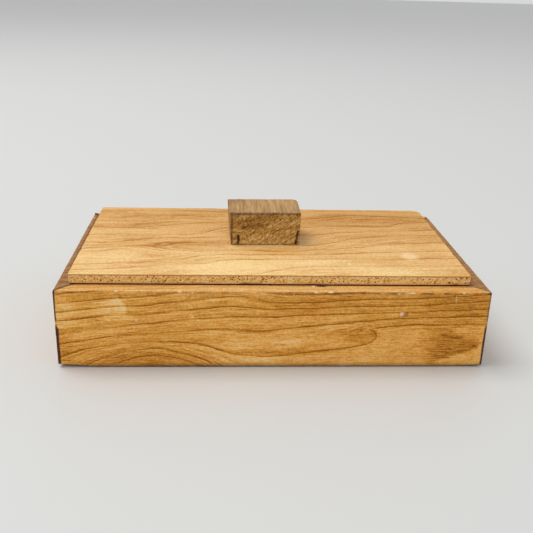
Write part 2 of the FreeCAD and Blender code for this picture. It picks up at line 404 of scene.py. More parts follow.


# %% [markdown]
# ### Small marks
# Dents, scars and knots sit where something once happened, so each is placed one by one. A Mapping node
# set to texture mode turns the space round the spot into a ball of radius one, and the mark is whatever
# lies inside it.

# %% Marks
def marks(tree, place, spots):
    """Small oval spots: (x, y, z, half x, half y, half z) in millimetres, and how strong each one is."""
    strengths = []
    for *numbers, strength in spots:
        middle, halves = ([value * MM for value in three] for three in (numbers[:3], numbers[3:]))
        sockets = {"Vector": place, "Location": middle, "Scale": halves}
        centred = add(tree, "ShaderNodeMapping", sockets, vector_type="TEXTURE")
        distance = add(tree, "ShaderNodeVectorMath", {0: centred}, output="Value", operation="LENGTH")
        sockets = {"Value": distance, "From Min": 0.6, "From Max": 1.3, "To Min": strength, "To Max": 0.0}
        strengths.append(add(tree, "ShaderNodeMapRange", sockets))
    strongest = strengths[0]
    for other in strengths[1:]:
        strongest = add(tree, "ShaderNodeMath", {0: strongest, 1: other}, operation="MAXIMUM")
    return strongest


# %% [markdown]
# ## Oiled pine
# The four boards are pine that was oiled and has gone honey-gold with age. Each ring ends in a narrow
# brown line of latewood. Streaks and short dark dashes run along the grain, and large clouds of redder
# wood cross it. The real fibres are too fine to show at arm's length, so they are drawn about a
# millimetre wide. The surface is smooth, with a low sheen. Sawn tops, rubbed arrises, dirt and painted
# shade come from numbers that are kept on the mesh.

# %% Pine material
PALE_SHIFT = -0.13  # takes back what the patterns add on average
DASHES_IN_PLAIN_WOOD = 0.31
DASHES_IN_DARK_WOOD = 0.7  # how much stronger the dashes are for each step of darkness


def pine(name, grain, stains, pale_marks=(), dark_marks=()):
    """Flat-sawn pine whose fibres run along one axis of the object."""
    material, tree, shader = new_material(name)
    place, ring, spacing, tone = read_figure(tree)
    rubbed = add(tree, "ShaderNodeAttribute", output="Fac", attribute_name="rubbed")
    grime_and_painted_shade = add(tree, "ShaderNodeAttribute", output="Fac", attribute_name="grime_and_painted_shade")
    sawn = add(tree, "ShaderNodeAttribute", output="Fac", attribute_name="sawn")
    wander, reaches, breaks = (16.0, 5.0, 5.0, 1.8), (0.5, 1.2, 5.0), (45.0, 8.0, 1.0, 0.36, 0.6, 0.4)
    ring, line, fade = ring_lines(tree, place, grain, ring, spacing, wander, reaches, breaks)

    # Where the rings lie nearly flat in the surface the streaks would turn to blotches, so they fade there
    hatch = ring_streaks(tree, place, grain, ring, 26.0, 8.0, 0.65, 0.42, 0.68)
    calm = {"Value": spacing, "From Min": 14.0, "From Max": 40.0, "To Min": 1.0, "To Max": 0.3}
    calm = add(tree, "ShaderNodeMapRange", calm)
    hatch = add(tree, "ShaderNodeMath", {0: hatch, 1: calm}, operation="MULTIPLY")
    fibres = stretched_noise(tree, place, grain, 14.0, 0.9, 2.0, 0.25, 0.75)
    dashes = stretched_noise(tree, place, grain, 7.0, 0.8, 1.0, 0.54, 0.74)
    mottling = stretched_noise(tree, place, grain, 1.3, 0.8, 1.0, 0.25, 0.75)
    clouds = stretched_noise(tree, place, grain, 55.0, 14.0, 2.0, 0.3, 0.7)

    # Darkness of the wood: 0 is the palest worn earlywood, 1 the latewood line
    shadowed = add(tree, "ShaderNodeMath", {0: tone, 1: -1.0, 2: PALE_SHIFT}, operation="MULTIPLY_ADD")
    sockets = {0: shadowed, 1: DASHES_IN_DARK_WOOD, 2: DASHES_IN_PLAIN_WOOD}
    deepening = add(tree, "ShaderNodeMath", sockets, operation="MULTIPLY_ADD", use_clamp=True)
    dashes = add(tree, "ShaderNodeMath", {0: dashes, 1: deepening}, operation="MULTIPLY")
    patterns = [(line, 0.55), (fade, 0.14), (hatch, 0.42), (fibres, 0.30), (dashes, 1.0), (mottling, 0.34)]
    darkness = weighted_sum(tree, shadowed, patterns + [(clouds, 0.10)])
    colour = add(tree, "ShaderNodeValToRGB", {"Fac": darkness}, zip((0.0, 0.24, 0.55, 1.0), stains))
    red_clouds = stretched_noise(tree, place, grain, 30.0, 10.0, 2.0, 0.45, 0.7)
    red_share = add(tree, "ShaderNodeMath", {0: red_clouds, 1: 0.2}, operation="MULTIPLY")

    # The wear, and the dirt and painted shade, that are kept on the mesh, then the marks
    saw_marks = stretched_noise(tree, place, "y" if grain == "x" else "x", 9.0, 1.6, 2.0, 0.35, 0.7)
    sawn_share = add(tree, "ShaderNodeMath", {0: sawn, 1: 0.85}, operation="MULTIPLY")
    saw_share = add(tree, "ShaderNodeMath", {0: saw_marks, 1: sawn_share}, operation="MULTIPLY")
    layers = [
        (red_share, "#EAB890", "MULTIPLY"),
        (sawn_share, "#A07444"),
        (saw_share, "#704A28"),
        (rubbed, layered(tree, "#F4CE90", [(mottling, "#D09C58")])),
        # Dark brown for dirt, and for painted shade at the joints, the foot and round the lid
        (grime_and_painted_shade, "#451A0C"),
    ]
    for spots, hue in ((pale_marks, "#FFE2B0"), (dark_marks, "#5A2C10")):
        layers += [(marks(tree, place, spots), hue)] if spots else []
    roughness = add(tree, "ShaderNodeMapRange", {"Value": darkness, "To Min": 0.5, "To Max": 0.66})
    height = weighted_sum(tree, fibres, [(line, 0.5), (dashes, -1.5), (saw_share, -1.0)])
    colour = layered(tree, colour, layers)
    sockets = {"Base Color": colour, "Roughness": roughness, "Specular IOR Level": 0.2}
    surface(tree, shader, sockets, height, 0.10, 0.7)
    return material


# %% [markdown]
# ### Marks on the front board
# Little scars show paler where the finish is knocked off, and dirt has settled in a few dents. A pale spot
# sits at the lid's edge, and beside it painted shade darkens the gap under the lid where a chip widens it.

# %% Marks on the front board, and the two pines
FRONT_FACE = -76.5
MARK_DEPTH = 2.0


def on_front(spots):
    """Marks on the front board's face, from (x, z, half x, half z, strength)."""
    return [(x, FRONT_FACE, z, wide, MARK_DEPTH, high, strength) for x, z, wide, high, strength in spots]


FACE_SCARS = [
    (-84.5, 32.3, 0.7, 1.0, 0.7),
    (-50.5, 34.6, 0.8, 0.7, 0.7),
    (-50.5, 50.6, 0.6, 0.8, 0.6),
    (-55.9, 47.5, 1.0, 0.5, 0.4),
    (-59.0, 40.0, 0.4, 2.0, 0.2),
    (10.9, 49.6, 0.4, 1.0, 0.35),
    (111.5, 47.0, 0.35, 3.6, 0.35),
]
ARRIS_CHIPS = [
    (24.2, 51.2, 1.2, 0.45, 0.8),
    (33.5, 51.3, 1.8, 0.45, 0.8),
    (116.0, 51.0, 1.3, 0.5, 0.8),
    (84.0, 51.0, 1.6, 0.45, 0.8),
    (75.5, 50.6, 1.0, 0.45, 0.7),
    (-58.0, 51.2, 1.4, 0.5, 0.6),
    (-96.0, 51.3, 1.2, 0.5, 0.6),
]
# A pale spot on the wall top at the lid's edge
PALE_SPOT_AT_LID_EDGE = (23.6, -68.2, 51.8, 1.1, 1.0, 1.0, 0.9)
DARK_FLECKS = [
    (121.3, 41.9, 2.2, 0.45, 0.6),
    (126.8, 14.9, 1.6, 0.6, 0.7),
    (111.1, 6.6, 1.3, 0.5, 0.4),
    (-51.9, 48.0, 0.35, 2.2, 0.3),
    (81.6, 36.9, 0.9, 1.4, 0.5),  # stain beside the filled hole
]
# Painted shade: the gap under the lid's edge is wider and darker here, where a chip opens it
GAP_SHADE_BESIDE_PALE_SPOT = (28.6, -68.0, 51.8, 3.6, 1.3, 1.0, 0.9)
pale_marks = on_front(FACE_SCARS + ARRIS_CHIPS) + [PALE_SPOT_AT_LID_EDGE]
dark_marks = on_front(DARK_FLECKS) + [GAP_SHADE_BESIDE_PALE_SPOT]
FRONT_STAINS = ("#FFE09C", "#FEC066", "#E29C3A", "#A4620A")  # worn, pale, middle, dark
SIDE_STAINS = ("#F8D090", "#E8AE5C", "#CC8A38", "#905200")
front_pine = pine("oiled_pine_along_x", "x", FRONT_STAINS, pale_marks, dark_marks)
side_pine = pine("oiled_pine_along_y", "y", SIDE_STAINS)
print("marks on the front board:", len(pale_marks), "pale,", len(dark_marks), "dark")

# %% [markdown]
# ## Boards
# Each wall is a length of the same stock: a rectangle with a groove ploughed inside for the bottom, and
# in the side boards a second one for the lid. So a board starts as its cross-section, which is extruded
# to its length and cut at 45 degrees at both ends. A cube with grooves cut out of it would need booleans,
# and those leave ragged faces.

# %% Stock sizes
def in_mm(corners):
    """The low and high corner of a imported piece, in millimetres."""
    return [np.array(corner) / MM for corner in corners]


WALL_THICKNESS = 12.7
GROOVE_DEPTH = 5.0
LID_GROOVE_WIDTH = 3.6
TONGUE_PLAY = 0.1
bottom_low, bottom_high = in_mm(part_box("bottom_panel"))
runner_low, _ = in_mm(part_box("lid_right_runner"))
BOTTOM_GROOVE = (bottom_low[2], bottom_high[2] + 0.2, GROOVE_DEPTH)  # low, high, depth
groove_foot = runner_low[2] - TONGUE_PLAY
LID_GROOVE = (groove_foot, groove_foot + LID_GROOVE_WIDTH, GROOVE_DEPTH)
box_length = walls_high[0] - walls_low[0]
box_width = 2 * abs(walls_low[1])
wall_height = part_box("front_board")[1].z / MM
half_length, half_width = box_length / 2, box_width / 2
print("box:", box_length.round(2), "by", box_width.round(2), "mm, walls", round(wall_height, 2), "mm high")

# %% Cut and mitre
def cut_across(bm, axis, places):
    """Slices a mesh at right angles to an axis at each place, in millimetres."""
    for place in places:
        point = Vector((0, 0, 0))
        point[axis] = place
        direction = Vector((0, 0, 0))
        direction[axis] = 1
        everything = bm.verts[:] + bm.edges[:] + bm.faces[:]
        bmesh.ops.bisect_plane(bm, geom=everything, plane_co=point, plane_no=direction, dist=1e-5)


def mitred_board(length, reach, height, grooves):
    """A board along X whose outer face is at y = -reach, mitred at both ends. Millimetres."""
    bm = bmesh.new()
    outer, inner = -reach, -reach + WALL_THICKNESS
    section = [(outer, 0), (inner, 0)]
    for low, high, depth in grooves:
        section += [(inner, low), (inner - depth, low), (inner - depth, high), (inner, high)]
    section += [(inner, height), (outer, height)]
    profile = bm.faces.new([bm.verts.new((-length / 2, y, z)) for y, z in section])
    pushed = bmesh.ops.extrude_face_region(bm, geom=[profile])
    far_end = [item for item in pushed["geom"] if isinstance(item, bmesh.types.BMVert)]
    bmesh.ops.translate(bm, verts=far_end, vec=(length, 0, 0))
    bmesh.ops.recalc_face_normals(bm, faces=bm.faces)
    for end in (-1, 1):
        everything = bm.verts[:] + bm.edges[:] + bm.faces[:]
        cut = bmesh.ops.bisect_plane(
            bm,
            geom=everything,
            plane_co=(end * length / 2, outer, 0),
            plane_no=(end, 1, 0),
            dist=1e-5,
            clear_outer=True,
        )
        rim = [item for item in cut["geom_cut"] if isinstance(item, bmesh.types.BMEdge)]
        bmesh.ops.edgeloop_fill(bm, edges=rim)
    bmesh.ops.recalc_face_normals(bm, faces=bm.faces)
    return bm


# %% [markdown]
# ### Easing and wear
# A hand-made box has no perfect edges. Its arrises were eased with a block of sandpaper, and years of use
# then took off a little more here and there. So each board is bevelled, then cut into a fine enough grid
# of points, and the points near its edges are pushed in by noise. Sculpting by hand would do it too, but
# noise with a fixed seed comes out the same each time.

# %% Bevels and cuts
TOP_ARRIS = 0.8
LOWER_ARRIS = 1.0  # rounded by years of sliding about
CORNER_ARRIS = 0.45
JOINT_CUTS = (0.7, 1.0, 1.3, 1.65, 2.05)  # cuts close to a board's ends, for a crisp dark line at the joint


def edges_where(bm, keep):
    """The edges whose two ends pass a test."""
    return [edge for edge in bm.edges if all(keep(vert.co) for vert in edge.verts)]


def bevel(bm, edges, offset, segments=2, clamp=False):
    """Bevels edges, as a plane or a block of sandpaper eases them. Clamped bevels never overlap."""
    settings = {"profile": 0.5, "affect": "EDGES", "material": -1, "clamp_overlap": clamp}
    bmesh.ops.bevel(bm, geom=edges, offset=offset, segments=segments, **settings)


def bevel_outer_arrises(bm, length, reach, top=None):
    """Eases the outer face's edges: the top, unless it was sawn off, the bottom and both ends."""

    def on_outer(co, value, target):
        return abs(co.y + reach) < 1e-3 and abs(value - target) < 1e-3

    if top is not None:
        bevel(bm, edges_where(bm, lambda co: on_outer(co, co.z, top)), TOP_ARRIS, clamp=True)
    bevel(bm, edges_where(bm, lambda co: on_outer(co, co.z, 0)), LOWER_ARRIS, 4, clamp=True)
    bevel(bm, edges_where(bm, lambda co: on_outer(co, abs(co.x), length / 2)), CORNER_ARRIS, clamp=True)


def cut_board(bm, length, reach, heights, parts):
    """Cuts a board at these heights, through its thickness, into parts along it, and closely at its ends."""
    cut_across(bm, 2, heights)
    cut_across(bm, 1, -reach + np.arange(3.4, WALL_THICKNESS, 1.8))
    long_edges = [edge for edge in bm.edges if edge.calc_length() > length * 0.5]
    bmesh.ops.subdivide_edges(bm, edges=long_edges, cuts=parts, use_grid_fill=True)
    cut_across(bm, 0, [end * (length / 2 - inset) for end in (-1, 1) for inset in JOINT_CUTS])


# %% Dents, rounded corners and worn arrises
DENT_RADIUS, DENT_DEPTH = 2.6, 0.15
LIFT_REACH, LIFT_HEIGHT = 26.0, 12.0  # how far along and up a board its worn corner goes


def dish(bm, reach, spots):
    """Presses the outer face in a little round each spot, where a nail or plug was driven."""
    for vert in bm.verts:
        for along, height in spots:
            if vert.co.y < 0.1 - reach and math.hypot(vert.co.x - along, vert.co.z - height) < DENT_RADIUS:
                vert.co.y += DENT_DEPTH


def round_upright_corner(bm, length, reach, end, radius):
    """Rounds a board's outer corner in plan, as a joint's two boards are rounded together once glued."""
    for vert in bm.verts:
        past = Vector((vert.co.x * end - (length / 2 - radius), -vert.co.y - (reach - radius)))
        if past.x > 0 and past.y > 0 and past.length > radius:
            past *= radius / past.length
            vert.co.x = end * (length / 2 - radius + past.x)
            vert.co.y = -(reach - radius + past.y)


def lift_lower_corners(bm, half_board, left_lift, right_lift):
    """Wears the lower corners of a board round: the lower edge rises towards its ends."""
    for vert in bm.verts:
        lift = left_lift if vert.co.x < 0 else right_lift
        along = min(1.0, max(0.0, (abs(vert.co.x) - (half_board - LIFT_REACH)) / LIFT_REACH))
        low = max(0.0, 1.0 - vert.co.z / LIFT_HEIGHT)
        vert.co.z += lift * along * along * (3 - 2 * along) * low * low


def wear_arrises(bm, depth, seed, chip=0.0):
    """Pushes the bevelled edges in unevenly, more in a few chipped places."""
    bm.normal_update()
    for vert in bm.verts:
        normal = vert.normal
        if max(abs(normal.x), abs(normal.y), abs(normal.z)) > 0.985:
            continue
        spot = Vector(vert.co) + Vector((seed, 0, 0))
        rough = 0.5 + 0.5 * noise.noise(spot * 0.35)
        deep = max(0.0, noise.noise(spot * 0.16 + Vector((0, 0, 40))) - 0.22) * 2.0
        vert.co -= normal * (depth * rough * rough + chip * deep)


# %% [markdown]
# ### From millimetres to a finished piece
# The boards are made in millimetres, because a rule reads so, and scaled to metres at the end. The
# piece's object stays at the origin and its place is in its mesh, so a pattern on its coordinates stays
# put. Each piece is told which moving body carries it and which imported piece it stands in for.

# %% Finished piece
def finished_piece(name, bm, body, material, replaced, turn=0.0):
    """Turns a bmesh in millimetres into a piece of the tool box, in metres."""
    bmesh.ops.rotate(bm, verts=bm.verts, matrix=Matrix.Rotation(turn, 3, "Z"))
    bmesh.ops.scale(bm, verts=bm.verts, vec=(MM, MM, MM))
    for vert in bm.verts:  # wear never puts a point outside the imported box
        vert.co = [min(max(value, low), high) for value, low, high in zip(vert.co, *cad_box)]
    bm.normal_update()
    mesh = bpy.data.meshes.new(name)
    bm.to_mesh(mesh)
    bm.free()
    piece = bpy.data.objects.new(name, mesh)
    scene.collection.objects.link(piece)
    mesh.materials.append(material)
    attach(piece, body)
    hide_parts(replaced)
    print(name, "faces:", len(mesh.polygons))
    return piece


# %% [markdown]
# ### Rubbed arrises, dirt and painted shade
# Hands rub the finish off the arrises, so they are paler. The open joints are dark with dirt and with
# painted shade of their gaps. Painted shade also darkens the foot, the strip under the lid's edge and the
# left wall top beside the lid. All of this is worked out from each point's distance to these places and
# kept on the mesh, because a shader can't tell where a piece's edges are.

# %% Wear, dirt and painted shade on the walls
SHADE_STARTS, SHADE_SOFTNESS = 9.2, 0.4  # the strip of painted shade under the lid's edge, measured from the outer face
LOW_JOINT, TIGHT_PLACE = 28.0, 30.5  # heights: a joint gapes below the first and is tight at the second
GAPE_LOW_LEFT, GAPE_LOW, GAPE = 1.75, 1.35, 1.0  # how wide the joint's dark line is
GAPE_EDGE = 0.08  # over what distance the line goes from dark to clean
FOOT_SHADE_REACH, SEAM_DARK_REACH, RUBBED_STRIP = 1.7, 1.3, 0.9  # how far the painted shade at the foot, the seam's dirt and painted shade, and the rubbing reach from an edge


def edge_distance(places, low, high):
    """How far each point on a box's surface is from the nearest edge of the box."""
    to_faces = np.concatenate([np.abs(places - low), np.abs(places - high)], axis=1)
    return np.sort(to_faces, axis=1)[:, 1]


def speckle(places, size, seed):
    """Smooth noise from 0 to 1 at each point, with spots of the given size in millimetres."""
    offset = Vector((seed, seed * 0.7, 0))
    return np.array([0.5 + 0.5 * noise.noise(Vector(place / size) + offset) for place in places])


def wear_walls(piece, rub, dirt_and_shade, seed, sawn_top=0.0):
    """Keeps rubbed, dirt with painted shade, and sawn on a board's mesh. Side boards have a fully sawn top.
    """
    places = vertex_numbers(piece, "co") / MM
    patchy = speckle(places, 7.0, seed)
    finer_patches = speckle(places, 3.5, seed + 5)
    height = places[:, 2]
    from_end = half_length - np.abs(places[:, 0])
    from_face = half_width - np.abs(places[:, 1])
    on_top = np.clip((height - wall_height + 0.5) / 0.3, 0, 1)
    on_left = places[:, 0] < 0
    side_board = sawn_top > 0.9

    # The joint at an upright corner is open and dark low on the left, and a thin line elsewhere: dirt, and
    # painted shade of the open gap
    is_low = height < LOW_JOINT
    gape = np.where(on_left & is_low, GAPE_LOW_LEFT, np.where(is_low, GAPE_LOW, GAPE))
    gape = gape * (0.8 + 0.4 * patchy)
    past_gape = np.clip((np.maximum(from_end, from_face) - gape) / GAPE_EDGE, -40, 40)
    joint = 1 / (1 + np.exp(past_gape))
    joint *= np.where(np.abs(height - TIGHT_PLACE) < 1.8, 0.15, 1.0)
    joint *= np.where(~on_left & (height > LOW_JOINT + 4), 0.55, 1.0)
    # Painted shade along the foot, where the rounded lower arris turns down to the table
    painted_foot_shade = np.exp(-((height / FOOT_SHADE_REACH) ** 2)) * 0.9 * np.clip(2.0 - patchy * 1.5, 0.4, 1)

    # On the wall tops: the mitre's seam, dirt with painted shade of its gap; painted shade in the strip
    # under the lid's edge; and painted shadow of the lid beside it on the left
    seam = on_top * np.exp(-(((from_end - from_face) / SEAM_DARK_REACH) ** 2)) * np.where(on_left, 0.95, 0.2)
    painted_shade_under_lid = on_top * np.clip((from_face - SHADE_STARTS) / SHADE_SOFTNESS, 0, 1)
    painted_shade_under_lid *= np.where((from_end > 8) & (not side_board), 0.85, 0.0)
    # Painted shadow of the lid on the left wall top, towards the back
    painted_lid_shadow_beside = on_top * on_left * side_board * np.clip((from_end - 2.4) / 0.5, 0, 1) * 0.4
    painted_lid_shadow_beside *= np.clip((places[:, 1] + 40) / 20, 0, 1)

    # A broken dark line just below the front's top arris, stronger to the right
    to_right = 0.3 + 0.35 * np.clip(places[:, 0] / 40, 0, 1)
    below_arris = (np.abs(height - wall_height + 1.1) < 0.6) * (from_face < 0.3) * to_right
    below_arris *= np.clip(finer_patches * 3 - 1.0, 0, 1)

    middle = np.exp(-((places[:, 0] / 85) ** 2))
    near_edge = np.exp(-edge_distance(places, walls_low, walls_high) / RUBBED_STRIP)
    rubbed = rub * near_edge * np.clip(patchy * 2 - 0.5, 0, 1)
    rubbed += (0.2 + 0.3 * middle) * on_top * (not side_board) * np.clip(0.5 + finer_patches, 0, 1)
    # One number for dirt and painted shade: joints, foot, seams, the strips under and beside the lid, and
    # the line below the arris
    grime_and_painted_shade = dirt_and_shade * np.maximum(joint, painted_foot_shade) + seam + painted_shade_under_lid + below_arris + painted_lid_shadow_beside
    store(piece, "rubbed", np.clip(rubbed, 0, 1))
    store(piece, "grime_and_painted_shade", np.clip(grime_and_painted_shade, 0, 1))
    store(piece, "sawn", sawn_top * on_top)
    print(piece.name, "mean grime:", grime_and_painted_shade.mean().round(3), "mean rub:", rubbed.mean().round(3))


# %% [markdown]
# ### Front board
# The face of the box, so its figure is drawn line by line: a long tongue that ends right of the middle,
# arches that rise from the lower left, and a dark finely hatched patch at the lower right. A patch at the
# upper left has lost its finish. The top arris is chipped, and the lower corners are worn round from
# being slid about.

# %% Figure of the front board
FRONT_RINGS = [
    (0, [(-96, -8), (-73, 1.5), (-55, -5)]),
    (1, [(-108, -2), (-92, 5), (-73, 8), (-57, 5.5), (-46, 0)]),
    (2, [(-124, -3), (-113, 3), (-100, 8), (-87, 11.5), (-73, 12.8)]),
    (2, [(-63, 11), (-53, 8.6), (-43, 5), (-36, 0)]),
    (3, [(-133.5, 6), (-117, 12.5), (-100, 15.6), (-83, 17)]),
    (3, [(-63, 17.5), (-53, 16.7), (-43, 14.7), (-33, 11.7)]),
    (3, [(-27, 9.4), (-17, 8.3), (8, 8.3), (25, 10.8), (43, 13)]),
    (3, [(54, 14.8), (60, 17), (63.2, 20), (63.6, 23)]),
    (3, [(61.4, 25.8), (59.6, 27), (64, 27.6), (75, 28.5), (91, 29.5), (112, 29.8), (133.5, 30)]),
    (4, [(-133.5, 15.5), (-117, 18.4), (-100, 21), (-80, 22.5)]),
    (4, [(-54, 25), (-35, 26.5), (-10, 25), (5, 26.3)]),
    (4, [(20, 28), (35, 29.5), (56, 31.7), (83, 33.7), (110, 34.6), (133.5, 35.5)]),
    (5, [(-133.5, 22), (-123, 24.5), (-100, 27.5), (-67, 31), (-34, 34)]),
    (5, [(-17, 34.5), (16, 36), (50, 37), (76, 37.5)]),
    (5, [(88, 38), (110, 39), (133.5, 40.3)]),
    (6, [(-133.5, 31.5), (-100, 35.5), (-60, 38.5), (-20, 41)]),
    (6, [(20, 40.5), (60, 42), (100, 43.5), (133.5, 46)]),
    (7, [(-133.5, 37), (-110, 40), (-83, 41.7), (-54, 45), (-40, 47)]),
    (7, [(-25, 48), (-13, 46.7), (0, 44), (26, 44.7)]),
    (7, [(66, 46.7), (100, 48), (133.5, 50)]),
    (2.75, [(75, 14), (92, 14), (100, 24), (20, 3), (-20, 1), (60, 2), (86, 2)]),
    (2.6, [(110, 4), (110, 20), (133.5, 4), (133.5, 22)]),
]
FRONT_TONES = [
    (80, 14, 16, 14, -0.04),  # plain wood beyond the tongue
    (-12, 3, 26, 5, 0.08),
    (5, 11.2, 34, 2.6, -0.16),  # soft dark band over the lowest line
    (-5, 18, 30, 4, 0.08),
    (-28, 14, 14, 6, 0.06),
    (54, 21.5, 12, 5, -0.24),  # inside the tip of the tongue
    (118, 44, 26, 12, -0.17),
    (50, 45, 60, 7, -0.10),
    (-80, 4, 26, 8, -0.16),
    (-112, 48, 16, 4, -0.14),
    (-50, 30, 40, 16, -0.03),
    (-128, 37, 11, 9, 0.20),  # paler at the left end, dirtier low down
    (-130, 15, 6, 9, -0.10),
    (-122, 7, 13, 6, -0.12),
]
WORN_PATCH = [
    (-90.0, 40, -1, 0.05, 1.4),  # right edge
    (-92.5, 44.5, -0.75, -0.65, 1.6),  # the shoulder right of its apex
    (-106, 45.0, 0.25, -1, 2.0),  # upper edge, along a ring
    (-110, 40, 1, 0, 38.0),  # fades out to the left
    (-100, 35.5, 0, 1, 5.0),
]
DARK_PATCH = [
    (111, 7.5, -0.34, 1, 2.0),
    (114, 24, -0.3, -1, 9.0),
    (99, 14, 1, 0, 22.0),
    (130, 14, -1, 0, 3.0),
]
DARK_PATCH_EDGE = [
    (111, 6.9, -0.34, 1, 1.4),
    (111, 9.2, 0.34, -1, 3.0),
    (98, 5, 1, 0, 6.0),
    (129.5, 13, -1, 0, 2.0),
]
FRONT_EDGED = [(WORN_PATCH, 0.34), (DARK_PATCH, -0.42), (DARK_PATCH_EDGE, -0.26)]

# %% Front board
plug_low, plug_high = in_mm(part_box("front_filler_plug"))
plug_spot = ((plug_low[0] + plug_high[0]) / 2, (plug_low[2] + plug_high[2]) / 2)

front = mitred_board(box_length, half_width, wall_height, [BOTTOM_GROOVE])
bevel_outer_arrises(front, box_length, half_width, wall_height)
cut_board(front, box_length, half_width, np.arange(4.0, wall_height - 1, 1.6), 240)
# Cuts for the strip of painted shade under the lid's edge
cut_across(front, 1, [-half_width + inset for inset in (SHADE_STARTS, SHADE_STARTS + SHADE_SOFTNESS, 11.4)])
cut_across(front, 2, [wall_height - 1.5, wall_height - 1.9])
dish(front, half_width, [plug_spot])
lift_lower_corners(front, half_length, left_lift=2.0, right_lift=1.0)
wear_arrises(front, depth=0.25, seed=3.0, chip=0.5)
front_board = finished_piece("front_board_worn", front, "box", front_pine, "front_board")
front_rings = ring_sheet(FRONT_RINGS, stretch=2.2)
draw_figure(
    front_board,
    lambda p: (p[:, 0], p[:, 2], p[:, 1] + half_width),
    front_rings,
    depth_between_rings=5.0,
    patches=FRONT_TONES,
    edged=FRONT_EDGED,
)
wear_walls(front_board, rub=0.7, dirt_and_shade=0.95, seed=11.0, sawn_top=0.3)

# %% [markdown]
# ### Side boards
# The same stock, sawn from another part of the plank, with the lid's groove as well. One function makes
# both. A board is made lying along X and then turned, so left and right differ only in the way they turn.
# The back corners of the box are rounded in plan, the right one more.

# %% Side boards
SIDE_RINGS = [
    (0, [(-76, 2), (-50, 6), (-20, 9), (10, 6), (40, 2)]),
    (1, [(-76, 9), (-50, 13), (-18, 16.5), (12, 13.5), (44, 9), (76, 6)]),
    (2, [(-76, 16), (-48, 21), (-15, 26), (16, 21.5), (46, 17), (76, 14)]),
    (3, [(-76, 24), (-44, 29), (-8, 34), (22, 30), (50, 25), (76, 23)]),
    (4, [(-76, 33), (-40, 37), (0, 41), (30, 38), (76, 32)]),
    (5, [(-76, 41), (-30, 45), (10, 48), (76, 41)]),
    (6, [(-76, 49), (0, 54), (76, 50)]),
]

BRAD_FROM_MIDDLE = 71.5
BRAD_HEIGHTS = (15.0, 31.0)
BACK_CORNER_RADIUS = {-1: 0.9, 1: 4.0}  # left, right
side_rings = ring_sheet(SIDE_RINGS, stretch=2.2)
LIFTS = {-1: (0.4, 2.0), 1: (1.0, 0.4)}  # how far the lower corners at the two ends are worn
brads = [(end * BRAD_FROM_MIDDLE, height) for end in (-1, 1) for height in BRAD_HEIGHTS]


def side_wall(side, seed):
    """Left (side = -1) or right (side = 1) board."""
    bm = mitred_board(box_width, half_length, wall_height, [BOTTOM_GROOVE, LID_GROOVE])
    bevel_outer_arrises(bm, box_width, half_length, wall_height)
    cut_board(bm, box_width, half_length, np.arange(4.0, wall_height - 1, 1.9), 140)
    # Cuts where the painted shadow beside the lid starts
    cut_across(bm, 1, [-half_length + inset for inset in (2.4, 2.9)])
    dish(bm, half_length, brads)
    round_upright_corner(bm, box_width, half_length, side, BACK_CORNER_RADIUS[side])
    lift_lower_corners(bm, half_width, *LIFTS[side])
    wear_arrises(bm, depth=0.25, seed=seed, chip=0.6)
    name = "left_side_board" if side < 0 else "right_side_board"
    piece = finished_piece(name + "_worn", bm, "box", side_pine, name, side * math.pi / 2)
    draw_figure(piece, lambda p: (p[:, 1] * side, p[:, 2], half_length - p[:, 0] * side), side_rings, 3.2)
    wear_walls(piece, rub=0.2, dirt_and_shade=0.9, seed=seed, sawn_top=1.0)


side_wall(-1, 21.0)
side_wall(1, 37.0)

# %% [markdown]
# ### Back board, and the strip sawn off it
# The lid's strip was the top of the back board, sawn off so that it could travel with the lid. So both
# are made as one board is, and one ring sheet carries the figure across the saw cut. The strip is a
# little shorter, so that it slides out between the sides.

# %% Back board
BACK_RINGS = [
    (0, [(-133, 4), (-90, 6), (-40, 3), (20, 5), (80, 2), (133, 5)]),
    (1, [(-133, 12), (-85, 15), (-35, 11), (25, 13), (85, 9), (133, 11)]),
    (2, [(-133, 19), (-80, 24), (-30, 19), (35, 21), (90, 16), (133, 18)]),
    (3, [(-133, 27), (-75, 33), (-25, 28), (40, 28), (95, 23), (133, 25)]),
    (4, [(-133, 36), (-70, 41), (-20, 37), (50, 36), (133, 33)]),
    (5, [(-133, 45), (-20, 47), (133, 42)]),
]

back_rings = ring_sheet(BACK_RINGS, stretch=2.5)


def finish_back(bm, name, replaced, body, seed):
    """Rounds the corners of the back board or its strip, wears it, and gives it its figure."""
    for side in (-1, 1):
        round_upright_corner(bm, box_length, half_width, -side, BACK_CORNER_RADIUS[side])
    wear_arrises(bm, depth=0.25, seed=seed, chip=0.3)
    piece = finished_piece(name, bm, body, front_pine, replaced, math.pi)
    draw_figure(piece, lambda p: (-p[:, 0], p[:, 2], half_width - p[:, 1]), back_rings, 3.5)
    wear_walls(piece, rub=0.4, dirt_and_shade=0.8, seed=seed)


back_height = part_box("back_board")[1].z / MM
back = mitred_board(box_length, half_width, back_height, [BOTTOM_GROOVE])
bevel_outer_arrises(back, box_length, half_width)
cut_board(back, box_length, half_width, np.arange(4.0, back_height - 1, 1.9), 200)
finish_back(back, "back_board_worn", "back_board", "box", 51.0)

# %% Strip under the lid's back edge
STRIP_END_CLEARANCE = 0.4
NAIL_HEADS_PROUD = 0.1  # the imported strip's box takes in the nail heads below it
strip_low, strip_high = (corner.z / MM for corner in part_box("lid_rear_strip"))
strip_low += NAIL_HEADS_PROUD
strip = mitred_board(box_length - 2 * STRIP_END_CLEARANCE, half_width, strip_high - strip_low, [])
bmesh.ops.translate(strip, verts=strip.verts, vec=(0, 0, strip_low))
cut_board(strip, box_length, half_width, np.arange(strip_low + 1.6, strip_high - 1, 1.6), 200)
cut_across(strip, 2, [strip_low + 0.5, strip_high - 0.5])
finish_back(strip, "lid_rear_strip_worn", "lid_rear_strip", "lid", 57.0)

